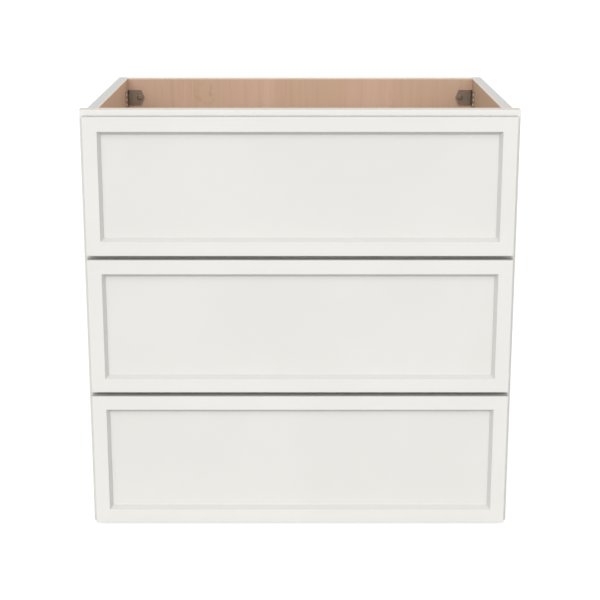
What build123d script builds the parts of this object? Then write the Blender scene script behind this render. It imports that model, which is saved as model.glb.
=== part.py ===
from build123d import *
import os

# Vanity drawer base cabinet: a face-frame box with three full-overlay drawers.
# +X is to the right seen from the front, the drawers open towards -Y, and +Z is up.
# The origin is on the floor, at the middle of the cabinet's width and depth. Lengths are in millimetres.

# Face frame and case
cabinet_width = 762.0
cabinet_height = 762.0
case_depth = 498.0
frame_thickness = 25.4
stile_width = 38.1
top_rail_height = 38.1
middle_rail_height = 38.1
bottom_rail_height = 38.1
side_setback = 11.0
side_thickness = 19.0
back_thickness = 19.0
floor_thickness = 19.0
floor_drop = 6.4
edge_round = 1.0

# Drawer fronts
drawer_names = ("top", "middle", "bottom")
front_thickness = 20.0
front_standoff = 2.0
front_gap = 7.3
top_reveal = 9.7
bottom_reveal = 4.5
side_reveal = 6.3
member_face = 25.4
bevel_width = 6.0
bevel_depth = 9.0
panel_tongue = 6.4
panel_groove_depth = 9.0
panel_groove_clearance = 0.2
panel_room = 1.0
panel_field_gap = 0.3

# Drawer boxes
box_height = 152.4
box_rear_clearance = 23.8
board_thickness = 15.9
box_side_clearance = 5.0
box_lift = 14.3
bottom_thickness = 6.4
bottom_recess = 12.7
bottom_groove_depth = 6.4
bottom_groove_clearance = 0.2
bottom_room = 1.0
tail_count = 4
pin_width = 6.0
tail_slope = 1 / 6

# Undermount slides
slide_sheet = 1.5
slide_width = 22.0
rail_channel_height = 12.0
runner_height = 12.0
slide_slot = 9.0
carriage_web = 3.0
carriage_setback = 4.0
carriage_end_gap = 12.3
running_clearance = 0.4
runner_side_gap = 0.6
rail_edge_gap = 1.0
rail_setback = 1.0
hook_height = 16.0
hook_width = 10.0
hook_pin_drop = 5.0
hook_pin_radius = 2.5
hook_pin_length = 8.0
hook_pin_clearance = 0.3

# Rear sockets that carry the cabinet rails
socket_depth = 20.0
socket_wall = 3.0
socket_clearance = 0.2

# Locking clips and their release levers
clip_width = 28.0
clip_length = 56.0
clip_height = 12.0
clip_wall = 3.0
lever_side_gap = 0.4
lever_front_gap = 2.0
lever_thickness = 4.0
lever_rise = 0.5
lever_pivot_setback = 46.0
lever_tail = 4.0
lever_lip_length = 4.0
lever_lip_drop = 4.5
lever_pin_radius = 2.0
lever_pin_clearance = 0.05

# Corner brackets and their screws
bracket_height = 31.0
bracket_drop = 23.5
bracket_sheet = 1.5
bracket_bend_radius = 1.5
bracket_back_reach = 27.0
bracket_side_reach = 50.0
bracket_shoulder = 4.0
bracket_nose = 2.2
bracket_nose_height = 12.0
screw_count = 3
screw_spacing = 10.0
screw_setback = 9.0
screw_head_radius = 2.4
screw_head_height = 0.7
screw_shank_radius = 1.6
screw_shank_length = 14.0
screw_clearance = 0.05
back_screw_reach = 23.5
back_screw_head_radius = 5.4
back_screw_head_height = 2.6
back_screw_head_round = 2.1
back_screw_shank_radius = 2.2
back_screw_shank_length = 15.0

# Places across the width, for the right-hand half
half_width = cabinet_width / 2
opening_half = half_width - stile_width
side_outer = half_width - side_setback
side_inner = side_outer - side_thickness
front_half = half_width - side_reveal
member_width = member_face + bevel_width
box_half = opening_half - box_side_clearance
box_inner_half = box_half - board_thickness
slide_center = box_inner_half - runner_side_gap - slide_width / 2
rail_outer = opening_half - rail_edge_gap
clip_outer = slide_center - slide_width / 2
clip_inner = clip_outer - clip_width

# Places along the depth
overall_depth = case_depth + front_standoff + front_thickness
front_y = -overall_depth / 2
front_back_y = front_y + front_thickness
frame_y = front_back_y + front_standoff
frame_back_y = frame_y + frame_thickness
back_y = overall_depth / 2
back_inner_y = back_y - back_thickness
box_inner_y = front_back_y + board_thickness
box_length = back_inner_y - box_rear_clearance - front_back_y
box_end_y = front_back_y + box_length
box_back_y = box_end_y - board_thickness
rail_end_y = back_inner_y - socket_wall
screw_y = back_inner_y - bracket_side_reach + screw_setback
bracket_face_y = back_inner_y - bracket_sheet
back_screw_x = side_inner - back_screw_reach

# Heights
front_count = len(drawer_names)
gaps_height = front_gap * (front_count - 1)
front_height = (cabinet_height - top_reveal - bottom_reveal - gaps_height) / front_count
front_pitch = front_height + front_gap
front_tops = [cabinet_height - top_reveal - i * front_pitch for i in range(front_count)]
middle_rail_centers = [top - front_height - front_gap / 2 for top in front_tops[:-1]]
opening_floors = [center + middle_rail_height / 2 for center in middle_rail_centers] + [bottom_rail_height]
floor_top = bottom_rail_height - floor_drop
bracket_top = cabinet_height - bracket_drop
bracket_bottom = bracket_top - bracket_height
bracket_middle = (bracket_top + bracket_bottom) / 2
first_screw_z = bracket_middle - (screw_count - 1) / 2 * screw_spacing
screw_heights = [first_screw_z + i * screw_spacing for i in range(screw_count)]

os.makedirs("parts", exist_ok=True)


def block(x, y, z, mode=Mode.ADD):
    """A box between two places along each axis."""
    with Locations(((x[0] + x[1]) / 2, (y[0] + y[1]) / 2, (z[0] + z[1]) / 2)):
        Box(abs(x[1] - x[0]), abs(y[1] - y[0]), abs(z[1] - z[0]), mode=mode)


def save(piece, name):
    """Labels a finished piece and writes it."""
    piece.part.label = name
    export_step(piece.part, f"parts/{name}.step")


# Case panels
for side, sign in (("left", -1), ("right", 1)):
    with BuildPart() as side_panel:
        block((sign * side_inner, sign * side_outer), (frame_back_y, back_y), (0, cabinet_height))
        for screw_z in screw_heights:
            with Locations(Plane((sign * side_inner, screw_y, screw_z), z_dir=(-sign, 0, 0))):
                Hole(screw_shank_radius + screw_clearance, screw_shank_length)
    save(side_panel, f"side_panel_{side}")

with BuildPart() as back_panel:
    block((-side_inner, side_inner), (back_inner_y, back_y), (0, cabinet_height))
    for sign in (-1, 1):
        with Locations(Plane((sign * back_screw_x, back_inner_y, bracket_middle), z_dir=(0, -1, 0))):
            Hole(back_screw_shank_radius + screw_clearance, back_screw_shank_length)
save(back_panel, "back_panel")

with BuildPart() as floor_panel:
    block((-side_inner, side_inner), (frame_back_y, back_inner_y), (floor_top - floor_thickness, floor_top))
save(floor_panel, "floor_panel")

# Face frame: two full-height stiles with the rails between them
for side, sign in (("left", -1), ("right", 1)):
    with BuildPart() as frame_stile:
        block((sign * opening_half, sign * half_width), (frame_y, frame_back_y), (0, cabinet_height))
        front_edges = frame_stile.faces().sort_by(Axis.Y)[0].edges()
        outer_edge = front_edges.filter_by(Axis.Z).sort_by(Axis.X)[-1 if sign > 0 else 0]
        top_edge = front_edges.filter_by(Axis.X).sort_by(Axis.Z)[-1]
        fillet([outer_edge, top_edge], edge_round)
    save(frame_stile, f"frame_stile_{side}")

with BuildPart() as frame_top_rail:
    top_rail_span = (cabinet_height - top_rail_height, cabinet_height)
    block((-opening_half, opening_half), (frame_y, frame_back_y), top_rail_span)
    top_rail_front = frame_top_rail.faces().sort_by(Axis.Y)[0]
    fillet(top_rail_front.edges().sort_by(Axis.Z)[-1], edge_round)
save(frame_top_rail, "frame_top_rail")

for name, center in zip(("upper", "lower"), middle_rail_centers):
    with BuildPart() as frame_rail:
        rail_span = (center - middle_rail_height / 2, center + middle_rail_height / 2)
        block((-opening_half, opening_half), (frame_y, frame_back_y), rail_span)
    save(frame_rail, f"frame_rail_{name}")

with BuildPart() as frame_bottom_rail:
    block((-opening_half, opening_half), (frame_y, frame_back_y), (0, bottom_rail_height))
save(frame_bottom_rail, "frame_bottom_rail")

# Corner brackets: bent steel, one flange on the side panel and a nosed one on the back panel
with BuildPart() as corner_bracket_right:
    with BuildSketch(Plane.XY.offset(bracket_bottom)):
        with BuildLine():
            Polyline(
                (side_inner, back_inner_y - bracket_side_reach),
                (side_inner, back_inner_y),
                (side_inner - bracket_back_reach, back_inner_y),
                (side_inner - bracket_back_reach, bracket_face_y),
                (side_inner - bracket_sheet, bracket_face_y),
                (side_inner - bracket_sheet, back_inner_y - bracket_side_reach),
                close=True,
            )
        make_face()
    extrude(amount=bracket_height)
    inner_corner = corner_bracket_right.edges().filter_by(Axis.Z).sort_by_distance(
        (side_inner - bracket_sheet, bracket_face_y, bracket_middle)
    )[0]
    fillet(inner_corner, bracket_bend_radius)
    flange_end = side_inner - bracket_back_reach
    nose_root = flange_end - bracket_shoulder
    nose_low = (nose_root, bracket_middle - bracket_nose_height / 2)
    nose_tip = (nose_root - bracket_nose, bracket_middle)
    nose_high = (nose_root, bracket_middle + bracket_nose_height / 2)
    with BuildSketch(Plane.XZ.offset(-back_inner_y)):
        with BuildLine():
            ThreePointArc(nose_low, nose_tip, nose_high)
            Polyline(nose_high, (flange_end, bracket_top), (flange_end, bracket_bottom), nose_low)
        make_face()
    extrude(amount=bracket_sheet)
    with Locations(Plane((back_screw_x, bracket_face_y, bracket_middle), z_dir=(0, -1, 0))):
        Hole(back_screw_shank_radius + screw_clearance, bracket_sheet)
    for screw_z in screw_heights:
        with Locations(Plane((side_inner - bracket_sheet, screw_y, screw_z), z_dir=(-1, 0, 0))):
            Hole(screw_shank_radius + screw_clearance, bracket_sheet)
save(corner_bracket_right, "corner_bracket_right")

with BuildPart() as corner_bracket_left:
    mirror(corner_bracket_right.part, about=Plane.YZ)
save(corner_bracket_left, "corner_bracket_left")

# Low-headed screws through the brackets' side flanges
with BuildPart() as bracket_screws:
    for screw_z in screw_heights:
        head_plane = Plane((side_inner - bracket_sheet, screw_y, screw_z), z_dir=(-1, 0, 0))
        with BuildSketch(head_plane):
            Circle(screw_head_radius)
        extrude(amount=screw_head_height)
        with BuildSketch(head_plane):
            Circle(screw_shank_radius)
        extrude(amount=-screw_shank_length)
    head_rims = bracket_screws.faces().filter_by(Axis.X).group_by(Axis.X)[0].edges()
    fillet(head_rims, screw_head_height / 2)
    mirror(about=Plane.YZ)
save(bracket_screws, "bracket_screws")

# Domed screws through the brackets' back flanges
with BuildPart() as bracket_back_screws:
    dome_plane = Plane((back_screw_x, bracket_face_y, bracket_middle), z_dir=(0, -1, 0))
    with BuildSketch(dome_plane):
        Circle(back_screw_head_radius)
    extrude(amount=back_screw_head_height)
    dome_face = bracket_back_screws.faces().sort_by(Axis.Y)[0]
    fillet(dome_face.edges(), back_screw_head_round)
    with BuildSketch(dome_plane):
        Circle(back_screw_shank_radius)
    extrude(amount=-back_screw_shank_length)
    mirror(about=Plane.YZ)
save(bracket_back_screws, "bracket_back_screws")

# Rear sockets: a pocket on the back panel for the end of each cabinet rail
with BuildPart() as slide_rear_sockets:
    pocket_outer = rail_outer + socket_clearance
    pocket_inner = slide_center - slide_width / 2 - socket_clearance
    for floor_z in opening_floors:
        block(
            (pocket_inner - socket_wall, pocket_outer + socket_wall),
            (back_inner_y - socket_depth, back_inner_y),
            (floor_z - socket_wall, floor_z + rail_channel_height),
        )
        block(
            (pocket_inner, pocket_outer),
            (back_inner_y - socket_depth, rail_end_y),
            (floor_z, floor_z + rail_channel_height),
            mode=Mode.SUBTRACT,
        )
    mirror(about=Plane.YZ)
save(slide_rear_sockets, "slide_rear_sockets")


def tails(x, end_y, inward, z, mode):
    """Dovetail tails at one end of a drawer side, wide at end_y and narrower at the shoulder."""
    pitch = (z[1] - z[0]) / tail_count
    wide = (pitch - pin_width) / 2
    narrow = wide - board_thickness * tail_slope
    shoulder_y = end_y + inward * board_thickness
    for i in range(tail_count):
        middle = z[0] + (i + 0.5) * pitch
        with BuildSketch(Plane.YZ.offset(min(x))) as tail:
            with BuildLine():
                Polyline(
                    (end_y, middle - wide),
                    (end_y, middle + wide),
                    (shoulder_y, middle + narrow),
                    (shoulder_y, middle - narrow),
                    close=True,
                )
            make_face()
        extrude(tail.sketch, amount=board_thickness, mode=mode)


for name, front_top, floor_z in zip(drawer_names, front_tops, opening_floors):
    front_bottom = front_top - front_height
    box_bottom = floor_z + box_lift
    box_top = box_bottom + box_height
    bottom_under = box_bottom + bottom_recess
    bottom_over = bottom_under + bottom_thickness
    groove_y = front_y + bevel_depth
    groove_back_y = groove_y + panel_tongue + panel_groove_clearance

    # Drawer front: stiles with a sloped inner edge and a groove behind it
    front_stiles = []
    for side, sign in (("left", -1), ("right", 1)):
        inner_x = sign * (front_half - member_width)
        with BuildPart() as front_stile:
            with BuildSketch(Plane.XY.offset(front_bottom)):
                with BuildLine():
                    Polyline(
                        (sign * front_half, front_y),
                        (sign * (front_half - member_face), front_y),
                        (inner_x, groove_y),
                        (inner_x + sign * panel_groove_depth, groove_y),
                        (inner_x + sign * panel_groove_depth, groove_back_y),
                        (inner_x, groove_back_y),
                        (inner_x, front_back_y),
                        (sign * front_half, front_back_y),
                        close=True,
                    )
                make_face()
            extrude(amount=front_height)
            front_edges = front_stile.faces().sort_by(Axis.Y)[0].edges()
            outer_edge = front_edges.filter_by(Axis.Z).sort_by(Axis.X)[-1 if sign > 0 else 0]
            fillet([outer_edge] + front_edges.filter_by(Axis.X), edge_round)
        save(front_stile, f"{name}_front_stile_{side}")
        front_stiles.append(front_stile)

    # Drawer front: rails of the same section, coped over the stiles, with stub tenons in their grooves
    for edge, outer_z, inward in (("top", front_top, -1), ("bottom", front_bottom, 1)):
        inner_z = outer_z + inward * member_width
        rail_half = front_half - member_face
        with BuildPart() as front_rail:
            with BuildSketch(Plane.YZ.offset(-rail_half)):
                with BuildLine():
                    Polyline(
                        (front_y, outer_z),
                        (front_y, outer_z + inward * member_face),
                        (groove_y, inner_z),
                        (groove_y, inner_z - inward * panel_groove_depth),
                        (groove_back_y, inner_z - inward * panel_groove_depth),
                        (groove_back_y, inner_z),
                        (front_back_y, inner_z),
                        (front_back_y, outer_z),
                        close=True,
                    )
                make_face()
            extrude(amount=2 * rail_half)
            long_edges = front_rail.faces().sort_by(Axis.Y)[0].edges().filter_by(Axis.X)
            fillet(long_edges.sort_by(Axis.Z)[-1 if inward < 0 else 0], edge_round)
            tenon_half = front_half - member_width + panel_groove_depth
            tenon_z = (outer_z, inner_z - inward * panel_groove_depth)
            block((-tenon_half, tenon_half), (groove_y, groove_back_y), tenon_z)
            add([stile.part for stile in front_stiles], mode=Mode.SUBTRACT)
        save(front_rail, f"{name}_front_rail_{edge}")

    # Drawer front: panel with a tongue in the grooves and its back flush with the frame's
    with BuildPart() as front_panel:
        tongue_inset = member_width + panel_room - panel_groove_depth
        block(
            (-(front_half - tongue_inset), front_half - tongue_inset),
            (groove_y, groove_y + panel_tongue),
            (front_bottom + tongue_inset, front_top - tongue_inset),
        )
        field_inset = member_width + panel_field_gap
        block(
            (-(front_half - field_inset), front_half - field_inset),
            (groove_y + panel_tongue, front_back_y),
            (front_bottom + field_inset, front_top - field_inset),
        )
    save(front_panel, f"{name}_front_panel")

    # Drawer box: sides with dovetail tails at both ends and a groove for the bottom
    for side, sign in (("left", -1), ("right", 1)):
        side_x = (sign * box_inner_half, sign * box_half)
        with BuildPart() as box_side:
            block(side_x, (box_inner_y, box_back_y), (box_bottom, box_top))
            block(side_x, (box_back_y, box_end_y), (box_bottom, bottom_over))
            tails(side_x, front_back_y, 1, (box_bottom, box_top), Mode.ADD)
            tails(side_x, box_end_y, -1, (bottom_over, box_top), Mode.ADD)
            block(
                (sign * box_inner_half, sign * (box_inner_half + bottom_groove_depth)),
                (box_inner_y - bottom_groove_depth, box_end_y),
                (bottom_under, bottom_over + bottom_groove_clearance),
                mode=Mode.SUBTRACT,
            )
        save(box_side, f"{name}_box_side_{side}")

    with BuildPart() as box_front:
        block((-box_half, box_half), (front_back_y, box_inner_y), (box_bottom, box_top))
        for sign in (-1, 1):
            side_x = (sign * box_inner_half, sign * box_half)
            tails(side_x, front_back_y, 1, (box_bottom, box_top), Mode.SUBTRACT)
        groove_half = box_inner_half + bottom_groove_depth
        block(
            (-groove_half, groove_half),
            (box_inner_y - bottom_groove_depth, box_inner_y),
            (bottom_under, bottom_over + bottom_groove_clearance),
            mode=Mode.SUBTRACT,
        )
    save(box_front, f"{name}_box_front")

    hook_z = bottom_under + hook_height - hook_pin_drop
    with BuildPart() as box_back:
        block((-box_half, box_half), (box_back_y, box_end_y), (bottom_over, box_top))
        for sign in (-1, 1):
            side_x = (sign * box_inner_half, sign * box_half)
            tails(side_x, box_end_y, -1, (bottom_over, box_top), Mode.SUBTRACT)
            with Locations(Plane((sign * slide_center, box_end_y, hook_z), z_dir=(0, 1, 0))):
                Hole(hook_pin_radius + hook_pin_clearance, hook_pin_length + hook_pin_clearance)
    save(box_back, f"{name}_box_back")

    with BuildPart() as box_bottom_panel:
        bottom_half = box_inner_half + bottom_groove_depth - bottom_room
        bottom_start_y = box_inner_y - bottom_groove_depth + bottom_room
        block((-bottom_half, bottom_half), (bottom_start_y, box_end_y), (bottom_under, bottom_over))
    save(box_bottom_panel, f"{name}_box_bottom")

    # Cabinet rails: an open channel with lips, and a mounting flange beside it
    channel = (slide_center - slide_width / 2, slide_center + slide_width / 2)
    slot = (slide_center - slide_slot / 2, slide_center + slide_slot / 2)
    rail_top = floor_z + rail_channel_height
    with BuildPart() as rail_pair:
        rail_y = (frame_y + rail_setback, rail_end_y)
        block((channel[0], rail_outer), rail_y, (floor_z, rail_top))
        block(
            (channel[0] + slide_sheet, channel[1] - slide_sheet),
            rail_y,
            (floor_z + slide_sheet, rail_top - slide_sheet),
            mode=Mode.SUBTRACT,
        )
        block(slot, rail_y, (rail_top - slide_sheet, rail_top), mode=Mode.SUBTRACT)
        block(
            (channel[1], rail_outer - slide_sheet),
            rail_y,
            (floor_z + slide_sheet, rail_top),
            mode=Mode.SUBTRACT,
        )
        mirror(about=Plane.YZ)
    save(rail_pair, f"{name}_rail_pair")

    # Drawer runners: the channel upside down, with a hook into the box's back
    runner_bottom = bottom_under - runner_height
    with BuildPart() as runner_pair:
        runner_y = (box_inner_y, box_end_y)
        block(channel, runner_y, (runner_bottom, bottom_under))
        block(
            (channel[0] + slide_sheet, channel[1] - slide_sheet),
            runner_y,
            (runner_bottom + slide_sheet, bottom_under - slide_sheet),
            mode=Mode.SUBTRACT,
        )
        block(slot, runner_y, (runner_bottom, runner_bottom + slide_sheet), mode=Mode.SUBTRACT)
        block(
            (slide_center - hook_width / 2, slide_center + hook_width / 2),
            (box_end_y, box_end_y + slide_sheet),
            (bottom_under - slide_sheet, bottom_under + hook_height),
        )
        with BuildSketch(Plane.XZ.offset(-box_end_y)):
            with Locations((slide_center, hook_z)):
                Circle(hook_pin_radius)
        extrude(amount=hook_pin_length)
        mirror(about=Plane.YZ)
    save(runner_pair, f"{name}_runner_pair")

    # Ball carriages: a flanged beam captured by the rail below and the runner above
    flange_inset = slide_sheet + running_clearance
    low_flange = (floor_z + flange_inset, rail_top - flange_inset)
    high_flange = (runner_bottom + flange_inset, bottom_under - flange_inset)
    flange = (channel[0] + flange_inset, channel[1] - flange_inset)
    flange_hollow = (flange[0] + slide_sheet, flange[1] - slide_sheet)
    with BuildPart() as carriage_pair:
        carriage_y = (box_inner_y + carriage_setback, box_end_y - carriage_end_gap)
        block(flange, carriage_y, low_flange)
        block(flange_hollow, carriage_y, (low_flange[0], low_flange[1] - slide_sheet), mode=Mode.SUBTRACT)
        block(flange, carriage_y, high_flange)
        block(flange_hollow, carriage_y, (high_flange[0] + slide_sheet, high_flange[1]), mode=Mode.SUBTRACT)
        block(
            (slide_center - carriage_web / 2, slide_center + carriage_web / 2),
            carriage_y,
            (low_flange[1], high_flange[0]),
        )
        mirror(about=Plane.YZ)
    save(carriage_pair, f"{name}_carriage_pair")

    # Locking clips: open underneath, behind the box's front and beside the runners
    clip_bottom = bottom_under - clip_height
    pivot_y = box_inner_y + lever_pivot_setback
    lever_bottom = clip_bottom + lever_rise
    pivot_z = lever_bottom + lever_thickness / 2
    cavity = (clip_inner + clip_wall, clip_outer - clip_wall)
    with BuildPart() as clip_pair:
        block((clip_inner, clip_outer), (box_inner_y, box_inner_y + clip_length), (clip_bottom, bottom_under))
        block(
            cavity,
            (box_inner_y + clip_wall, box_inner_y + clip_length - clip_wall),
            (clip_bottom, bottom_under - clip_wall),
            mode=Mode.SUBTRACT,
        )
        with BuildSketch(Plane.YZ.offset(clip_inner)):
            with Locations((pivot_y, pivot_z)):
                Circle(lever_pin_radius + lever_pin_clearance)
        extrude(amount=clip_width, mode=Mode.SUBTRACT)
        mirror(about=Plane.YZ)
    save(clip_pair, f"{name}_clip_pair")

    # Release levers: a finger plate on a cross pin in each clip
    lever_start_y = box_inner_y + clip_wall + lever_front_gap
    with BuildPart() as lever_pair:
        lever_x = (cavity[0] + lever_side_gap, cavity[1] - lever_side_gap)
        lever_z = (lever_bottom, lever_bottom + lever_thickness)
        block(lever_x, (lever_start_y, pivot_y + lever_tail), lever_z)
        lip_z = (lever_bottom - lever_lip_drop, lever_bottom)
        block(lever_x, (lever_start_y, lever_start_y + lever_lip_length), lip_z)
        with BuildSketch(Plane.YZ.offset(clip_inner)):
            with Locations((pivot_y, pivot_z)):
                Circle(lever_pin_radius)
        extrude(amount=clip_width)
        mirror(about=Plane.YZ)
    save(lever_pair, f"{name}_lever_pair")
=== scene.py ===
"""A vanity drawer base cabinet: white painted face frame and fronts, maple inside, undermount slides."""

import math

import bmesh
import bpy
from mathutils import Matrix, Vector


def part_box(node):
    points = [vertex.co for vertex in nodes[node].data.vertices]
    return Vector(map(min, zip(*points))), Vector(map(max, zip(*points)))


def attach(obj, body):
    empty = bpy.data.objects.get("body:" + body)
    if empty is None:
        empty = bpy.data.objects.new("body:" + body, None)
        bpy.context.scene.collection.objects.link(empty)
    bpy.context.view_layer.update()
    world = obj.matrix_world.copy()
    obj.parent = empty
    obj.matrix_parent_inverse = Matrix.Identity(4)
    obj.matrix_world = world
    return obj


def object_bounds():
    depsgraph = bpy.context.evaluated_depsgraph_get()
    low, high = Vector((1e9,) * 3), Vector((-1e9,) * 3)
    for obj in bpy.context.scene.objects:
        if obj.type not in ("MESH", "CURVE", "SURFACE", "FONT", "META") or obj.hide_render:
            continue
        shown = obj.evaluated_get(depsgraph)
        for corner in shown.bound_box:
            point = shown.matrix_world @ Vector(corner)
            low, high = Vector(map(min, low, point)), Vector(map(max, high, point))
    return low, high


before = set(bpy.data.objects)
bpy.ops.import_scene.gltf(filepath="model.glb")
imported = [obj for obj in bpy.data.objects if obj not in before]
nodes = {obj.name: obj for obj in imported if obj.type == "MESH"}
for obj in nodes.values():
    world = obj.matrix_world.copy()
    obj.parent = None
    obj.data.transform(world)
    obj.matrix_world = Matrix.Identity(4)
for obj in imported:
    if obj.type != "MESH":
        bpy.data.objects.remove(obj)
cad_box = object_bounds()

MM = 0.001
X, Y, Z = range(3)
WHITE = (1.0, 1.0, 1.0, 1.0)
DRAWERS = ("top", "middle", "bottom")
FRONT_PIECES = ("front_stile_left", "front_stile_right", "front_rail_top", "front_rail_bottom", "front_panel")

# Camera
CAMERA_PLACE = (0.0, -2.7757, 1.1015)
CAMERA_PITCH = 14.98
CAMERA_LENS = 88.39
SENSOR_WIDTH = 36.0

# Light
SKY_LEVEL = 0.66
KEY_LEVEL = 0.37
KEY_ELEVATION = 36.0
KEY_TURN = -25.0
SECOND_LEVEL = 0.165
SECOND_ELEVATION = 30.0
SECOND_TURN = 25.0
FRONT_SPREAD = 50.0
FILL_LEVEL = 0.20
FILL_SPREAD = 40.0
FILL_ELEVATION = 8.0
FILL_TURN = 125.0
FLOOR_BOUNCE = (0.50, 0.49, 0.48, 1.0)
FLOOR_SHOWN = (0.30, 0.30, 0.30, 1.0)
FLOOR_GLOW = 0.79
FLOOR_REACH = 30.0

# Faces and thicknesses that a finish follows
SIDE_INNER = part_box("side_panel_right")[0].x
SIDE_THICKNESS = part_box("side_panel_right")[1].x - SIDE_INNER
BACK_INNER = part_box("back_panel")[0].y
BACK_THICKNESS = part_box("back_panel")[1].y - BACK_INNER
CASE_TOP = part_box("side_panel_right")[1].z
CASE_SKIN = 0.8 * MM
CREAM_BAND = 2.4 * MM
TOP_FACE = (0.2 * MM, 0.1 * MM)
SIDE_TRIM = (2.6 * MM, 0.8 * MM)
BACK_TRIM = (3.4 * MM, 1.0 * MM)
FRONT_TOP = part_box("top_front_rail_top")[1].z
FRAME_FADE = 4 * MM
# How far below the case's top the frame's top-edge tone reaches.
FRAME_TOP_REACH = (1.2 * MM, 0.6 * MM)
BEND_WIDTH = (2.2 * MM, 2.7 * MM)
BEND_LENGTH = (8.0 * MM, 20.0 * MM)

# Grain: its scale along each axis, small along the grain, which draws it out
LAMINATE_UPRIGHT = (1.0, 1.0, 0.035)
LAMINATE_ACROSS = (0.035, 1.0, 1.0)
BOARD_ALONG = 0.03

# Where each piece's grain pattern starts
SIDE_SEED = (0.31, 0.11, 0.0)
BACK_SEED = (0.0, 0.0, 0.0)
FLOOR_SEED = (0.0, 0.4, 0.0)
BOX_SIDE_SEED = (0.2, 0.0, 0.7)
BOX_END_SEED = (0.0, 0.9, 0.3)

# Scales of the noise that colours wood, and where its four tones sit in the bands
BAND_STOPS = (0.32, 0.46, 0.56, 0.70)
BAND_SCALE = 12.0
STREAK_SCALE = 70.0
FIBRE_SCALE = 520.0
PORE_SCALE = (900.0, 900.0, 900.0)
RING_SCALE = (160.0, 160.0, 160.0)
CURL_SCALE = 75.0
CLOSE_LINE_SCALE = (300.0, 300.0, 9.0)
PLY_GRAIN_SCALE = (400.0, 400.0, 400.0)

# Patches of other grain on the back panel, each by its middle and its reach, across and up
BACK_CURL = ((-0.194, 0.730), (0.026, 0.030))
BACK_LINES = ((-0.232, 0.700), (0.036, 0.300))

# Veneers in a sheet's thickness
PLY_LAYERS = 9

# Scales of the noise on paint, metal and plastic
RIPPLE_SCALE = 620.0
DRIFT_SCALE = 46.0
PAINT_CHANGE_SCALE = 5.0
MARK_SCALE = 900.0
MARK_SCALE_ALONG = 14.0
METAL_CLOUD_SCALE = 55.0
BRACKET_CLOUD_SCALE = 120.0
PLASTIC_SCALE = 260.0
PLASTIC_CLOUD_SCALE = 30.0

# Depth of the fine relief, in metres
PAINT_RELIEF = 0.00006
LAMINATE_RELIEF = 0.00005
MAPLE_RELIEF = 0.00006
METAL_RELIEF = 0.00004
MOULDED_RELIEF = 0.00008

# How strongly a finish mirrors at a right angle
PAINT_SPECULAR = 0.45
WOOD_SPECULAR = 0.4

# Screw heads and bumpers
PAN_HEAD = (3.8 * MM, 2.2 * MM)
TRUSS_HEAD = (4.6 * MM, 2.4 * MM)
HEAD_STEPS = 24
BUMPER_PROFILE = [
    (0.0, 0.0), (4.4 * MM, 0.0), (4.4 * MM, 0.5 * MM), (4.0 * MM, 1.05 * MM),
    (3.0 * MM, 1.4 * MM), (1.6 * MM, 1.55 * MM), (0.0, 1.6 * MM),
]
DOME_STEPS = 20
MERGE_WITHIN = 1e-7
FRONT_SCREW_COLUMNS = (-0.245, 0.0, 0.245)
FRONT_SCREW_RISE = 38 * MM
FRONT_SCREW_DROP = 30 * MM
BUMPER_REACH = 0.360
BUMPER_INSET = 16 * MM
RAIL_WEB = 1.5 * MM
RAIL_SCREW_HEIGHT = 6.6 * MM
RAIL_SCREW_DEPTHS = (6 * MM, 18 * MM)


class Wire:
    """A node's output. Arithmetic on it adds Math nodes."""

    def __init__(self, tree, socket):
        self.tree = tree
        self.socket = socket

    def math(self, operation, first, second=0.0):
        return self.tree.node("ShaderNodeMath", {"operation": operation}, {0: first, 1: second})

    def __add__(self, other):
        return self.math("ADD", self, other)

    def __radd__(self, other):
        return self.math("ADD", other, self)

    def __sub__(self, other):
        return self.math("SUBTRACT", self, other)

    def __rsub__(self, other):
        return self.math("SUBTRACT", other, self)

    def __mul__(self, other):
        return self.math("MULTIPLY", self, other)

    def __rmul__(self, other):
        return self.math("MULTIPLY", other, self)

    def __truediv__(self, other):
        return self.math("DIVIDE", self, other)

    def __gt__(self, other):
        return self.math("GREATER_THAN", self, other)

    def __abs__(self):
        return self.math("ABSOLUTE", self)

    def out(self, name):
        """Another output of the same node."""
        return Wire(self.tree, self.socket.node.outputs[name])


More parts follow.
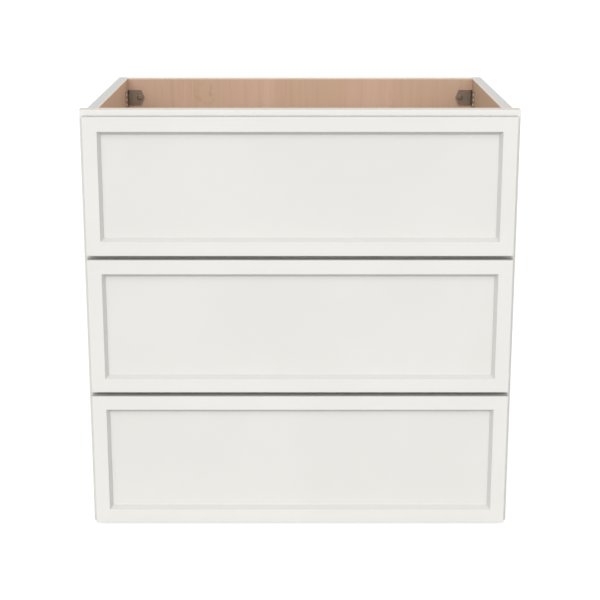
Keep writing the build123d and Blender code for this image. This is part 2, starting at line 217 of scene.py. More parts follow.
class Tree:
    """A node tree that nodes are added to by one method."""

    def __init__(self, node_tree):
        self.nodes = node_tree.nodes
        self.links = node_tree.links

    def node(self, kind, settings=None, inputs=None, output=0):
        made = self.nodes.new(kind)
        for name, value in (settings or {}).items():
            if name == "stops":
                self.set_stops(made.color_ramp, value)
            else:
                setattr(made, name, value)
        for key, value in (inputs or {}).items():
            if isinstance(value, Wire):
                self.links.new(value.socket, made.inputs[key])
            else:
                made.inputs[key].default_value = value
        return Wire(self, made.outputs[output]) if len(made.outputs) else made

    @staticmethod
    def set_stops(ramp, stops):
        while len(ramp.elements) > 1:
            ramp.elements.remove(ramp.elements[-1])
        ramp.elements[0].position, ramp.elements[0].color = stops[0]
        for position, colour in stops[1:]:
            ramp.elements.new(position).color = colour

    def place(self):
        """Object coordinates."""
        return self.node("ShaderNodeTexCoord").out("Object")

    def parts(self, vector):
        """A vector's three numbers."""
        split = self.node("ShaderNodeSeparateXYZ", inputs={0: vector})
        return split.out("X"), split.out("Y"), split.out("Z")

    def normal(self):
        """The surface's own direction, by axis."""
        return self.parts(self.node("ShaderNodeTexCoord").out("Normal"))

    def facing(self):
        """How far the surface faces along each axis, without its sign."""
        return [abs(part) for part in self.normal()]

    def stretched(self, vector, scale):
        return self.node("ShaderNodeMapping", {"vector_type": "POINT"}, {"Vector": vector, "Scale": scale})

    def noise(self, vector, scale, detail=3.0, roughness=0.5, distortion=0.0):
        return self.node("ShaderNodeTexNoise", inputs={
            "Vector": vector, "Scale": scale, "Detail": detail,
            "Roughness": roughness, "Distortion": distortion,
        })

    def stretched_noise(self, vector, scale, detail=3.0, roughness=0.5, distortion=0.0):
        """Noise with a scale of its own along each axis."""
        return self.noise(self.stretched(vector, scale), 1.0, detail, roughness, distortion)

    def ramp(self, value, *stops):
        return self.node("ShaderNodeValToRGB", {"stops": stops}, {0: value})

    def step(self, value, low, high):
        """0 below low and 1 above high, with a smooth rise between them."""
        return self.node(
            "ShaderNodeMapRange", {"interpolation_type": "SMOOTHSTEP"},
            {"Value": value, "From Min": low, "From Max": high},
        )

    def flat(self, facing):
        """1 where the surface lies square to the axis that facing measures."""
        return self.step(facing, 0.5, 0.6)

    def below_top(self, z, start, full):
        """0 from start below the case's top, rising to 1 from full below it."""
        return self.step(z, CASE_TOP - start, CASE_TOP - full)

    def mix(self, mask, first, second):
        """The first colour where the mask is 0 and the second where it is 1."""
        return self.node("ShaderNodeMix", {"data_type": "RGBA"}, {0: mask, 6: first, 7: second}, output=2)

    def tint(self, amount, first, second):
        """The first colour multiplied by the second, by amount."""
        settings = {"data_type": "RGBA", "blend_type": "MULTIPLY"}
        return self.node("ShaderNodeMix", settings, {0: amount, 6: first, 7: second}, output=2)

    def bump(self, height, distance, strength):
        return self.node("ShaderNodeBump", inputs={
            "Height": height, "Distance": distance, "Strength": strength,
        })

    def seen(self):
        """1 for rays that reach the eye straight, by reflection or through glass."""
        path = self.node("ShaderNodeLightPath")
        return path.out("Is Camera Ray") + path.out("Is Glossy Ray") + path.out("Is Transmission Ray")


def finish(name, build):
    """A material whose surface is what build returns: the Principled shader's inputs."""
    material = bpy.data.materials.new(name)
    material.use_nodes = True
    material.node_tree.nodes.clear()
    tree = Tree(material.node_tree)
    surface = tree.node("ShaderNodeBsdfPrincipled", inputs=build(tree))
    tree.node("ShaderNodeOutputMaterial", inputs={"Surface": surface})
    return material


def srgb(red, green, blue):
    """A colour from its screen numbers, 0 to 255."""
    def linear(level):
        level /= 255
        return level / 12.92 if level <= 0.04045 else ((level + 0.055) / 1.055) ** 2.4
    return linear(red), linear(green), linear(blue), 1.0


PAINT = srgb(240, 239, 235)
PAINT_SHADE = srgb(238, 237, 233)
# Painted shade: the recessed panels' two paint tones are a little darker than the fronts', standing in for
# the shade in the recess.
PANEL_PAINT_SHADED = srgb(236, 235, 231)
PANEL_SHADE = srgb(234, 233, 229)
# Painted shade: a greyer tone on the fronts' upward top edges, standing in for the shade that falls on them.
TOP_EDGE_SHADE = srgb(182, 181, 178)
# The side panels' top edge band: partly the band's own grey, partly painted shade on the upward edge.
BAND_GREY_AND_SHADE = srgb(196, 196, 193)
# Painted shade: a greyer tone on the slopes round each recessed panel, standing in for the shade in the
# recess.
SLOPE_SHADE = srgb(215, 214, 210)
CREAM = srgb(224, 211, 196)
FRAME_PAINT = srgb(241, 240, 236)
# Painted shade: the frame's paint below the top drawer's top edge, darker where the fronts shade it.
FRAME_SHADE_BEHIND = srgb(226, 225, 221)
# The frame's top edge: a warm tone of its own, darkened as painted shade on the upward face.
FRAME_TOP_TONE_AND_SHADE = srgb(207, 199, 188)
LAMINATE_TONES = (srgb(201, 171, 150), srgb(198, 170, 147), srgb(200, 169, 149), srgb(205, 177, 156))
LAMINATE_DARK = srgb(182, 152, 130)
LAMINATE_LINE = srgb(160, 128, 106)
# Painted shade: the back's laminate tones, a little darker for the side panels' inner faces.
SIDE_SHADED_TONES = (srgb(194, 165, 142), srgb(191, 164, 139), srgb(193, 163, 141), srgb(198, 171, 148))
SIDE_SHADED_DARK = srgb(175, 146, 122)
# Painted shade: the right side panel's inside is darker, as less light falls on it.
RIGHT_SIDE_SHADE = (0.84, 0.87, 0.86, 1.0)
MAPLE_TONES = (srgb(220, 190, 158), srgb(216, 186, 152), srgb(219, 188, 158), srgb(226, 199, 168))
MAPLE_DARK = srgb(198, 164, 130)
MAPLE_LINE = srgb(172, 134, 100)
PLY_LIGHT = srgb(226, 200, 164)
PLY_DARK = srgb(178, 138, 100)
END_GRAIN = srgb(190, 152, 114)
BACK_EDGE = srgb(240, 229, 219)
BRACKET_STEEL = srgb(168, 160, 149)
BRACKET_CLOUD = srgb(156, 148, 137)
# Painted reflection: the side flange's warm tone, the wood walls mirrored in it.
BRACKET_FLANGE_REFLECTION = srgb(172, 142, 122)
# Painted highlight: the side flange's front end, paler where light catches it.
BRACKET_END_HIGHLIGHT = srgb(206, 178, 160)
# Painted shade: the dark band in the bracket's bend.
BRACKET_BEND_SHADE = srgb(50, 34, 24)
DOME_STEEL = (srgb(138, 122, 106), srgb(126, 110, 95))
FLANGE_STEEL = (srgb(250, 240, 230), srgb(240, 230, 220))
SCREW_ZINC = (srgb(208, 207, 203), srgb(178, 176, 170))
RAIL_ZINC = (srgb(196, 199, 202), srgb(172, 175, 179))
CARRIAGE_STEEL = (srgb(150, 152, 155), srgb(128, 130, 133))
SOCKET_GREY = (srgb(196, 197, 196), srgb(188, 189, 189))
CLIP_GREY = (srgb(120, 123, 126), srgb(112, 115, 118))
LEVER_ORANGE = (srgb(224, 116, 40), srgb(214, 106, 34))
BUMPER_CLEAR = (srgb(214, 216, 214), srgb(204, 206, 205))


def paint_surface(tree, place, colour):
    """Satin sprayed paint with a fine orange-peel ripple."""
    ripple = tree.noise(place, RIPPLE_SCALE, detail=2.0)
    drift = tree.noise(place, DRIFT_SCALE, detail=1.0)
    return {
        "Base Color": colour,
        "Roughness": 0.36 + 0.08 * drift,
        "Normal": tree.bump(0.7 * ripple + 0.3 * drift, PAINT_RELIEF, 0.35),
        "Specular IOR Level": PAINT_SPECULAR,
    }


def maple_colour(tree, place, scale, seed, tones=MAPLE_TONES, dark=MAPLE_DARK, line=MAPLE_LINE):
    """Maple drawn out along the axis whose scale is small: broad bands, streaks and short fibres."""
    moved = tree.node("ShaderNodeMapping", inputs={"Vector": place, "Location": seed})
    bands = tree.stretched_noise(moved, [BAND_SCALE * s for s in scale], distortion=0.3)
    streaks = tree.stretched_noise(moved, [STREAK_SCALE * s for s in scale], detail=5.0, roughness=0.62)
    fibres = tree.stretched_noise(moved, [FIBRE_SCALE * s for s in scale], roughness=0.7)
    colour = tree.ramp(bands, *zip(BAND_STOPS, tones))
    colour = tree.mix(0.50 * tree.step(streaks, 0.50, 0.74), colour, dark)
    colour = tree.mix(0.40 * tree.step(streaks, 0.50, 0.26), colour, tones[-1])
    colour = tree.mix(0.30 * tree.step(fibres, 0.56, 0.76), colour, line)
    return colour, fibres


def ply_edge(tree, across, thickness, place):
    """Veneer layers seen on a sheet's edge. across runs from 0 at one face to thickness at the other."""
    turns = across * (math.pi * PLY_LAYERS / thickness)
    wave = tree.node("ShaderNodeMath", {"operation": "SINE"}, {0: turns})
    grain = tree.stretched_noise(place, PLY_GRAIN_SCALE)
    return tree.mix(tree.step(wave + 0.8 * (grain - 0.5), -0.25, 0.25), PLY_DARK, PLY_LIGHT)


def sheet_colour(tree, node, place, face):
    """A level sheet: its face colour above and below, and veneer layers on its edges."""
    low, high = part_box(node)
    edge = ply_edge(tree, tree.parts(place)[Z] - low.z, high.z - low.z, place)
    return tree.mix(tree.flat(tree.facing()[Z]), edge, face)


def front_paint(tone, shade):
    """The fronts' paint: even on the faces, with painted shade on the upward top edges and in the recess's
    slopes.
    """
    def surface(tree):
        place = tree.place()
        normal_x, _, normal_z = tree.normal()
        face_x, face_z = abs(normal_x), abs(normal_z)
        change = tree.step(tree.noise(place, PAINT_CHANGE_SCALE, detail=2.0), 0.35, 0.65)
        square = tree.step(face_x, 0.90, 0.97) + tree.step(face_z, 0.90, 0.97)
        # The recess slopes take the painted shade tone.
        slope = tree.step(face_x + face_z, 0.3, 0.5) * (1.0 - square)
        colour = tree.mix(slope, tree.mix(change, tone, shade), SLOPE_SHADE)
        # The upward top edges take the painted shade tone.
        return paint_surface(tree, place, tree.mix(tree.step(normal_z, 0.90, 0.97), colour, TOP_EDGE_SHADE))
    return surface


def frame_paint(tree):
    """The face frame's paint, with painted shade where the fronts cover it, and a warm grey top edge: partly
    its own tone, partly painted shade on the upward face.
    """
    place = tree.place()
    z = tree.parts(place)[Z]
    # Below the fronts' top the frame takes the painted shade tone.
    colour = tree.mix(tree.step(z, FRONT_TOP - FRAME_FADE, FRONT_TOP), FRAME_SHADE_BEHIND, FRAME_PAINT)
    # The upward top face takes the warm tone with its painted shade.
    top = tree.below_top(z, *FRAME_TOP_REACH) * tree.step(tree.facing()[Z], 0.4, 0.8)
    return paint_surface(tree, place, tree.mix(top, colour, FRAME_TOP_TONE_AND_SHADE))


def laminate(tree, place, scale, seed, tones=LAMINATE_TONES, dark=LAMINATE_DARK):
    """The case's maple-look laminate: its colour and the height of its pores."""
    return maple_colour(tree, place, scale, seed, tones, dark, LAMINATE_LINE)


def laminate_surface(tree, colour, fibres):
    """The laminate's satin film, with its pores."""
    return {
        "Base Color": colour,
        "Roughness": 0.42 + 0.10 * fibres,
        "Normal": tree.bump(fibres, LAMINATE_RELIEF, 0.3),
        "Specular IOR Level": WOOD_SPECULAR,
    }


def case_side(tree):
    """White outside, maple inside with painted shade (darker still on the right panel), a top band that is
    partly its own grey and partly painted shade, and layers on the hidden edges.
    """
    place = tree.place()
    x, _, z = tree.parts(place)
    maple, fibres = laminate(tree, place, LAMINATE_UPRIGHT, SIDE_SEED, SIDE_SHADED_TONES, SIDE_SHADED_DARK)
    # The right panel's inside takes the painted shade tint.
    maple = tree.tint(x > 0.0, maple, RIGHT_SIDE_SHADE)
    depth = abs(x) - SIDE_INNER
    outside = tree.step(depth, CREAM_BAND * 0.6, CREAM_BAND * 1.2)
    half = SIDE_THICKNESS / 2
    skin = tree.step(abs(depth - half), half - CASE_SKIN * 1.1, half - CASE_SKIN * 0.9)
    # The band's grey carries painted shade on the upward edge as well as its own tone.
    band = tree.mix(outside, CREAM, BAND_GREY_AND_SHADE)
    edge = tree.mix(skin, ply_edge(tree, depth, SIDE_THICKNESS, place), PAINT)
    edge = tree.mix(tree.below_top(z, *TOP_FACE), edge, band)
    maple = tree.mix(0.75 * tree.below_top(z, *SIDE_TRIM), maple, CREAM)
    faces = tree.mix(tree.step(depth, SIDE_THICKNESS * 0.4, SIDE_THICKNESS * 0.6), maple, PAINT)
    colour = tree.mix(tree.flat(tree.facing()[X]), edge, faces)
    ripple = tree.noise(place, RIPPLE_SCALE, detail=2.0)
    height = tree.node("ShaderNodeMix", {"data_type": "FLOAT"}, {0: 1.0 - outside, 2: ripple, 3: fibres})
    return {
        "Base Color": colour,
        "Roughness": 0.40 + 0.08 * fibres,
        "Normal": tree.bump(height, PAINT_RELIEF, 0.35),
        "Specular IOR Level": PAINT_SPECULAR,
    }


def patch(tree, across, up, middle, reach):
    """1 in the middle of an oval, falling to 0 at its edge."""
    beside, above = (across - middle[0]) / reach[0], (up - middle[1]) / reach[1]
    return 1.0 - tree.step(beside * beside + above * above, 0.25, 1.0)


def case_back(tree):
    """Maple with upright grain, a pale band on its top edge and a plainer rear face."""
    place = tree.place()
    x, y, z = tree.parts(place)
    _, face_y, face_z = tree.facing()
    maple, fibres = laminate(tree, place, LAMINATE_UPRIGHT, BACK_SEED)
    wild = tree.noise(place, CURL_SCALE, detail=2.0)
    curl = patch(tree, x, z, *BACK_CURL) * tree.step(wild, 0.50, 0.62)
    lines = tree.stretched_noise(place, CLOSE_LINE_SCALE, detail=2.0)
    close = patch(tree, x, z, *BACK_LINES) * tree.step(lines, 0.50, 0.66)
    maple = tree.mix(0.6 * curl + 0.35 * close, maple, LAMINATE_DARK)
    depth = y - BACK_INNER
    rear = tree.step(depth, BACK_THICKNESS * 0.9, BACK_THICKNESS * 0.95) * tree.flat(face_y)
    plain = tree.mix(0.65, maple, LAMINATE_TONES[-1])
    level = tree.flat(face_z)
    under = (1.0 - tree.step(z, 0.1 * MM, 0.2 * MM)) * level
    colour = tree.mix(rear, tree.mix(0.85 * tree.below_top(z, *BACK_TRIM), maple, CREAM), plain)
    colour = tree.mix(under, colour, ply_edge(tree, depth, BACK_THICKNESS, place))
    colour = tree.mix(tree.below_top(z, *TOP_FACE) * level, colour, BACK_EDGE)
    return laminate_surface(tree, colour, fibres)


def case_floor(tree):
    """Maple with its grain across the cabinet, and layers on its edges."""
    place = tree.place()
    maple, fibres = laminate(tree, place, LAMINATE_ACROSS, FLOOR_SEED)
    return laminate_surface(tree, sheet_colour(tree, "floor_panel", place, maple), fibres)


def drawer_maple(along, seed):
    """Solid maple with its grain along one axis, darker on its end grain, under a clear satin lacquer."""
    def surface(tree):
        place = tree.place()
        scale = [BOARD_ALONG if axis == along else 1.0 for axis in (X, Y, Z)]
        colour, fibres = maple_colour(tree, place, scale, seed)
        pores = tree.stretched_noise(place, PORE_SCALE, detail=4.0, roughness=0.7)
        rings = tree.stretched_noise(place, RING_SCALE, distortion=0.6)
        ends = tree.mix(0.6 * tree.step(pores, 0.45, 0.7), END_GRAIN, MAPLE_LINE)
        ends = tree.mix(0.4 * tree.step(rings, 0.45, 0.6), ends, MAPLE_DARK)
        return {
            "Base Color": tree.mix(tree.flat(tree.facing()[along]), colour, ends),
            "Roughness": 0.36 + 0.16 * fibres,
            "Normal": tree.bump(fibres, MAPLE_RELIEF, 0.4),
            "Coat Weight": 0.15,
            "Specular IOR Level": WOOD_SPECULAR,
        }
    return surface


def drawer_bottom(drawer):
    """A maple ply bottom: grain across the drawer, and layers on its rear edge."""
    def surface(tree):
        place = tree.place()
        node = f"{drawer}_box_bottom"
        seed = (0.0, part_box(node)[0].z, 0.2)
        colour, fibres = maple_colour(tree, place, (BOARD_ALONG, 1.0, 1.0), seed)
        return {
            "Base Color": sheet_colour(tree, node, place, colour),
            "Roughness": 0.38 + 0.14 * fibres,
            "Normal": tree.bump(fibres, LAMINATE_RELIEF, 0.35),
            "Specular IOR Level": WOOD_SPECULAR,
        }
    return surface


def metal(colour, worn, roughness, along, metallic):
    """Sheet metal with fine rolling marks along one axis and cloudy plating."""
    def surface(tree):
        place = tree.place()
        scale = [MARK_SCALE_ALONG if axis == along else MARK_SCALE for axis in (X, Y, Z)]
        marks = tree.stretched_noise(place, scale, detail=2.0)
        clouds = tree.noise(place, METAL_CLOUD_SCALE, detail=4.0, roughness=0.6)
        return {
            "Base Color": tree.mix(0.7 * tree.step(clouds, 0.35, 0.7), colour, worn),
            "Metallic": metallic,
            "Roughness": roughness + 0.14 * (clouds - 0.5) + 0.08 * marks,
            "Normal": tree.bump(marks, METAL_RELIEF, 0.3),
        }
    return surface


def bracket_steel(tree):
    """Bronze-toned plated steel, with painted shade in its bend, a painted reflection of the wood on its side
    flange and a painted highlight on that flange's end.
    """
    place = tree.place()
    x, y, _ = tree.parts(place)
    low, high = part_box("corner_bracket_right")
    face_x, face_y, _ = tree.facing()
    # Where the bend lies, which takes the painted shade.
    beside = 1.0 - tree.step(high.x - abs(x), *BEND_WIDTH)
    bend = beside * (1.0 - tree.step(high.y - y, *BEND_LENGTH))
    end = (1.0 - tree.step(y - low.y, 0.2 * MM, 0.4 * MM)) * tree.step(face_y, 0.5, 0.7)
    clouds = tree.noise(place, BRACKET_CLOUD_SCALE, detail=4.0, roughness=0.6)
    colour = tree.mix(tree.step(clouds, 0.35, 0.7), BRACKET_STEEL, BRACKET_CLOUD)
    # The side flange takes the painted reflection of the wood.
    colour = tree.mix(0.8 * tree.step(face_x, 0.5, 0.7), colour, BRACKET_FLANGE_REFLECTION)
    # The flange's front end takes the painted highlight.
    colour = tree.mix(0.8 * end, colour, BRACKET_END_HIGHLIGHT)
    return {
        "Base Color": tree.mix(bend, colour, BRACKET_BEND_SHADE),
        "Metallic": 0.85,
        "Roughness": 0.33 + 0.12 * (clouds - 0.5),
        "Normal": tree.bump(clouds, MOULDED_RELIEF, 0.3),
    }


def plastic(colour, shade, roughness):
    """Moulded plastic with a light spark-eroded texture."""
    def surface(tree):
        place = tree.place()
        texture = tree.noise(place, PLASTIC_SCALE)
        clouds = tree.noise(place, PLASTIC_CLOUD_SCALE, detail=2.0)
        return {
            "Base Color": tree.mix(tree.step(clouds, 0.35, 0.65), colour, shade),
            "Roughness": roughness + 0.1 * (texture - 0.5),
            "Normal": tree.bump(texture, MOULDED_RELIEF, 0.4),
        }
    return surface


finishes = {
    "front": finish("satin_white_paint", front_paint(PAINT, PAINT_SHADE)),
    "panel": finish("satin_white_panel_paint", front_paint(PANEL_PAINT_SHADED, PANEL_SHADE)),
    "frame": finish("satin_white_frame_paint", frame_paint),
    "case_side": finish("case_side_faces", case_side),
    "case_back": finish("maple_laminate_upright", case_back),
    "case_floor": finish("maple_laminate_across", case_floor),
    "sides": finish("drawer_side_maple", drawer_maple(Y, BOX_SIDE_SEED)),
    "ends": finish("drawer_end_maple", drawer_maple(X, BOX_END_SEED)),
    "bracket": finish("bronze_steel", bracket_steel),
    "dome_screw": finish("bronze_dome_screw", metal(*DOME_STEEL, 0.58, Z, 0.7)),
    "flange_screw": finish("plated_flange_screw", metal(*FLANGE_STEEL, 0.42, Z, 0.2)),
    "screw": finish("zinc_screw", metal(*SCREW_ZINC, 0.30, Z, 1.0)),
    "rail": finish("zinc_slide_steel", metal(*RAIL_ZINC, 0.34, Y, 1.0)),
    "carriage": finish("dark_slide_steel", metal(*CARRIAGE_STEEL, 0.38, Y, 1.0)),
    "socket": finish("light_grey_plastic", plastic(*SOCKET_GREY, 0.48)),
    "clip": finish("grey_plastic", plastic(*CLIP_GREY, 0.46)),
    "lever": finish("orange_plastic", plastic(*LEVER_ORANGE, 0.42)),
    "bumper": finish("clear_bumper", plastic(*BUMPER_CLEAR, 0.30)),
}


def dress(node, material):
    """Gives a CAD piece its finish."""
    for held in nodes[node].material_slots:
        held.material = material


for node in nodes:
    if node.startswith("frame_"):
        dress(node, finishes["frame"])
for side in ("left", "right"):
    dress(f"side_panel_{side}", finishes["case_side"])
    dress(f"corner_bracket_{side}", finishes["bracket"])
dress("back_panel", finishes["case_back"])
dress("floor_panel", finishes["case_floor"])
dress("bracket_screws", finishes["flange_screw"])
dress("bracket_back_screws", finishes["dome_screw"])
dress("slide_rear_sockets", finishes["socket"])
for drawer in DRAWERS:
    for piece in FRONT_PIECES:
        dress(f"{drawer}_{piece}", finishes["panel" if piece == "front_panel" else "front"])
    for side in ("left", "right"):
        dress(f"{drawer}_box_side_{side}", finishes["sides"])
    dress(f"{drawer}_box_front", finishes["ends"])
    dress(f"{drawer}_box_back", finishes["ends"])
    dress(f"{drawer}_box_bottom", finish(f"{drawer}_drawer_bottom_ply", drawer_bottom(drawer)))
    dress(f"{drawer}_rail_pair", finishes["rail"])
    dress(f"{drawer}_runner_pair", finishes["rail"])
    dress(f"{drawer}_carriage_pair", finishes["carriage"])
    dress(f"{drawer}_clip_pair", finishes["clip"])
    dress(f"{drawer}_lever_pair", finishes["lever"])


def mesh_object(name, shape):
    """A linked object from a bmesh, which is freed."""
    mesh = bpy.data.meshes.new(name)
    shape.to_mesh(mesh)
    shape.free()
    made = bpy.data.objects.new(name, mesh)
    bpy.context.scene.collection.objects.link(made)
    return made


def turned(name, profile, steps):
    """A small round part from its (radius, height) profile, standing on the ground with its axis up."""
    shape = bmesh.new()
    corners = [shape.verts.new((radius, 0.0, height)) for radius, height in profile]
    edges = [shape.edges.new(pair) for pair in zip(corners, corners[1:])]
    bmesh.ops.spin(
        shape, geom=corners + edges, cent=(0, 0, 0), axis=(0, 0, 1),
        angle=2 * math.pi, steps=steps, use_merge=True,
    )
    bmesh.ops.remove_doubles(shape, verts=shape.verts, dist=MERGE_WITHIN)
    bmesh.ops.recalc_face_normals(shape, faces=shape.faces)
    for face in shape.faces:
        face.smooth = True
    return mesh_object(name, shape)


def recess_cutter(name, reach, arm, top, bottom, taper):
    """A plus-shaped tapered block that cuts a cross recess."""
    outline = [
        (reach, -arm), (reach, arm), (arm, arm), (arm, reach), (-arm, reach), (-arm, arm),
        (-reach, arm), (-reach, -arm), (-arm, -arm), (-arm, -reach), (arm, -reach), (arm, -arm),
    ]
    shape = bmesh.new()
    low = [shape.verts.new((x * taper, y * taper, bottom)) for x, y in outline]
    high = [shape.verts.new((x, y, top)) for x, y in outline]
    shape.faces.new(low)
    shape.faces.new(high)
    for i, corner in enumerate(low):
        after = (i + 1) % len(low)
        shape.faces.new((corner, low[after], high[after], high[i]))
    bmesh.ops.recalc_face_normals(shape, faces=shape.faces)
    return mesh_object(name, shape)


def baked(made):
    """The object's evaluated mesh as a plain mesh, with its modifiers removed."""
    bpy.context.view_layer.update()
    graph = bpy.context.evaluated_depsgraph_get()
    mesh = bpy.data.meshes.new_from_object(made.evaluated_get(graph))
    made.modifiers.clear()
    made.data = mesh
    mesh.name = made.name
    return made


def screw_head(name, radius, height):
    """A pan head with a cross recess."""
    profile = [
        (0.0, 0.0), (radius, 0.0), (radius, height * 0.30), (radius * 0.95, height * 0.58),
        (radius * 0.80, height * 0.84), (radius * 0.55, height * 0.97), (0.0, height),
    ]
    head = turned(name, profile, HEAD_STEPS)
    cutter = recess_cutter(name + "_recess", radius * 0.55, radius * 0.13, height * 1.2, height * 0.35, 0.62)
    cut = head.modifiers.new("recess", "BOOLEAN")
    cut.operation = "DIFFERENCE"
    cut.object = cutter
    cut.solver = "EXACT"
    baked(head)
    bpy.data.objects.remove(cutter)
    return head


def small_parts_tree():
    """Stands one small part on every point, along the point's facing, with a seeded turn."""
    group = bpy.data.node_groups.new("small_parts", "GeometryNodeTree")
    sockets = (
        ("Points", "NodeSocketGeometry"), ("Part", "NodeSocketObject"), ("Width", "NodeSocketFloat"),
        ("Height", "NodeSocketFloat"), ("Turn", "NodeSocketFloat"), ("Seed", "NodeSocketInt"),
        ("Finish", "NodeSocketMaterial"),
    )
    for name, kind in sockets:
        group.interface.new_socket(name, in_out="INPUT", socket_type=kind)
    group.interface.new_socket("Parts", in_out="OUTPUT", socket_type="NodeSocketGeometry")
    tree = Tree(group)
    given = tree.node("NodeGroupInput")
    part = tree.node("GeometryNodeObjectInfo", inputs={"Object": given.out("Part")})
    facing = tree.node(
        "GeometryNodeInputNamedAttribute", {"data_type": "FLOAT_VECTOR"}, {"Name": "facing"},
    )
    upright = tree.node("FunctionNodeAlignRotationToVector", {"axis": "Z"}, {"Vector": facing})
    angle = tree.node("FunctionNodeRandomValue", {"data_type": "FLOAT"}, {
        "Max": given.out("Turn"), "Seed": given.out("Seed"),
    }, output=1)
    turn = tree.node("FunctionNodeAxisAngleToRotation", inputs={"Axis": (0, 0, 1), "Angle": angle})
    rotation = tree.node("FunctionNodeRotateRotation", {"rotation_space": "LOCAL"}, {0: upright, 1: turn})
    scale = tree.node("ShaderNodeCombineXYZ", inputs={
        0: given.out("Width"), 1: given.out("Width"), 2: given.out("Height"),
    })
    stood = tree.node("GeometryNodeInstanceOnPoints", inputs={
        "Points": given.out("Points"), "Instance": part.out("Geometry"), "Rotation": rotation, "Scale": scale,
    })
    real = tree.node("GeometryNodeRealizeInstances", inputs={0: stood})
    shown = tree.node("GeometryNodeSetMaterial", inputs={0: real, "Material": given.out("Finish")})
    tree.node("NodeGroupOutput", inputs={0: shown})
    return group


small_parts = small_parts_tree()


def stand(name, body, part, places, material, width=1.0, height=1.0, turn=0.0, seed=1):
    """Copies of a part at (place, facing) pairs, as one piece that rides on a body."""
    mesh = bpy.data.meshes.new(name)
    mesh.from_pydata([place for place, facing in places], [], [])
    attribute = mesh.attributes.new("facing", "FLOAT_VECTOR", "POINT")
    attribute.data.foreach_set("vector", [number for place, facing in places for number in facing])
    piece = bpy.data.objects.new(name, mesh)
    bpy.context.scene.collection.objects.link(piece)
    modifier = piece.modifiers.new("parts", "NODES")
    modifier.node_group = small_parts
    values = {
        "Part": part, "Width": width, "Height": height, "Turn": turn, "Seed": seed, "Finish": material,
    }
    for item in small_parts.interface.items_tree:
        if item.item_type == "SOCKET" and item.in_out == "INPUT" and item.name in values:
            modifier[item.identifier] = values[item.name]
    baked(piece)
    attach(piece, body)


pan_head = screw_head("pan_head", *PAN_HEAD)
truss_head = screw_head("truss_head", *TRUSS_HEAD)
bumper_dome = turned("bumper_dome", BUMPER_PROFILE, DOME_STEPS)

for drawer in DRAWERS:
    body = f"{drawer}_drawer"
    low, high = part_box(f"{drawer}_box_front")
    rows = (low.z + FRONT_SCREW_RISE, high.z - FRONT_SCREW_DROP)
    places = [((x, high.y, z), (0, 1, 0)) for x in FRONT_SCREW_COLUMNS for z in rows]
    stand(f"{drawer}_front_screws", body, truss_head, places, finishes["screw"],
          turn=math.pi, seed=3)
    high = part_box(f"{drawer}_front_rail_top")[1]
    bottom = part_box(f"{drawer}_front_rail_bottom")[0].z
    corners = [
        ((x, high.y, z), (0, 1, 0))
        for x in (-BUMPER_REACH, BUMPER_REACH) for z in (high.z - BUMPER_INSET, bottom + BUMPER_INSET)
    ]
    stand(f"{drawer}_bumpers", body, bumper_dome, corners, finishes["bumper"])
    low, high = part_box(f"{drawer}_rail_pair")
    inner = high.x - RAIL_WEB
    screws = [
        ((side * inner, low.y + depth, low.z + RAIL_SCREW_HEIGHT), (-side, 0, 0))
        for side in (-1, 1) for depth in RAIL_SCREW_DEPTHS
    ]
    stand(f"{drawer}_rail_screws", "case", pan_head, screws, finishes["screw"],
          width=0.9, height=0.8, turn=math.pi, seed=5)

for source in (pan_head, truss_head, bumper_dome):
    bpy.data.objects.remove(source)


# Floor, light and camera
def floor_surface(tree):
    """White to the eye, with the object's shadow kept, and a pale bounce onto the object."""
    bounce = tree.node("ShaderNodeBsdfDiffuse", inputs={"Color": FLOOR_BOUNCE})
    shade = tree.node("ShaderNodeBsdfDiffuse", inputs={"Color": FLOOR_SHOWN})
    glow = tree.node("ShaderNodeEmission", inputs={"Strength": FLOOR_GLOW})
    shown = tree.node("ShaderNodeAddShader", inputs={0: shade, 1: glow})
    surface = tree.node("ShaderNodeMixShader", inputs={0: tree.seen(), 1: bounce, 2: shown})
    tree.node("ShaderNodeOutputMaterial", inputs={"Surface": surface})


floor_material = bpy.data.materials.new("pale_floor")
floor_material.use_nodes = True
floor_material.node_tree.nodes.clear()
floor_surface(Tree(floor_material.node_tree))

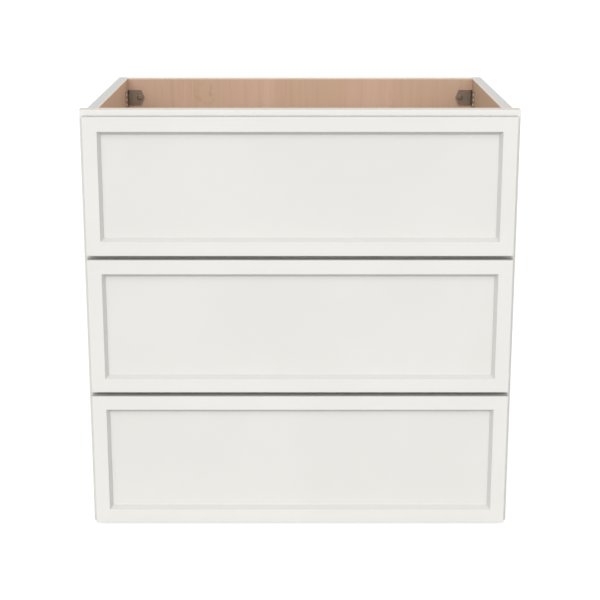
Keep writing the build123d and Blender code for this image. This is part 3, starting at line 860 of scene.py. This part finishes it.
floor_shape = bmesh.new()
bmesh.ops.create_grid(floor_shape, x_segments=1, y_segments=1, size=FLOOR_REACH)
floor = mesh_object("floor", floor_shape)
floor.data.transform(Matrix.Translation((0.0, 0.0, cad_box[0].z)))
floor.data.materials.append(floor_material)

world = bpy.data.worlds.new("studio")
world.use_nodes = True
world.node_tree.nodes.clear()
bpy.context.scene.world = world
sky = Tree(world.node_tree)
dim = sky.node("ShaderNodeBackground", inputs={"Color": WHITE, "Strength": SKY_LEVEL})
bright = sky.node("ShaderNodeBackground", inputs={"Color": WHITE, "Strength": 1.0})
sky.node("ShaderNodeOutputWorld", inputs={
    "Surface": sky.node("ShaderNodeMixShader", inputs={0: sky.seen(), 1: dim, 2: bright}),
})


def soft_lamp(name, level, spread, elevation, turn):
    """A wide, far lamp. A white face square to a level of 1 renders white."""
    data = bpy.data.lights.new(name, "SUN")
    data.energy = level * math.pi
    data.angle = math.radians(spread)
    lamp = bpy.data.objects.new(name, data)
    bpy.context.scene.collection.objects.link(lamp)
    rise, turn = math.radians(elevation), math.radians(turn)
    toward = Vector((math.sin(turn) * math.cos(rise), -math.cos(turn) * math.cos(rise), math.sin(rise)))
    lamp.rotation_euler = toward.to_track_quat("Z", "Y").to_euler()


soft_lamp("soft_key", KEY_LEVEL, FRONT_SPREAD, KEY_ELEVATION, KEY_TURN)
soft_lamp("soft_second", SECOND_LEVEL, FRONT_SPREAD, SECOND_ELEVATION, SECOND_TURN)
soft_lamp("fill_left", FILL_LEVEL, FILL_SPREAD, FILL_ELEVATION, -FILL_TURN)
soft_lamp("fill_right", FILL_LEVEL, FILL_SPREAD, FILL_ELEVATION, FILL_TURN)

camera_data = bpy.data.cameras.new("camera")
camera_data.lens = CAMERA_LENS
camera_data.sensor_width = SENSOR_WIDTH
camera = bpy.data.objects.new("camera", camera_data)
bpy.context.scene.collection.objects.link(camera)
camera.location = CAMERA_PLACE
camera.rotation_euler = (math.radians(90.0 - CAMERA_PITCH), 0.0, 0.0)
bpy.context.scene.camera = camera
bpy.context.scene.view_settings.view_transform = "Standard"
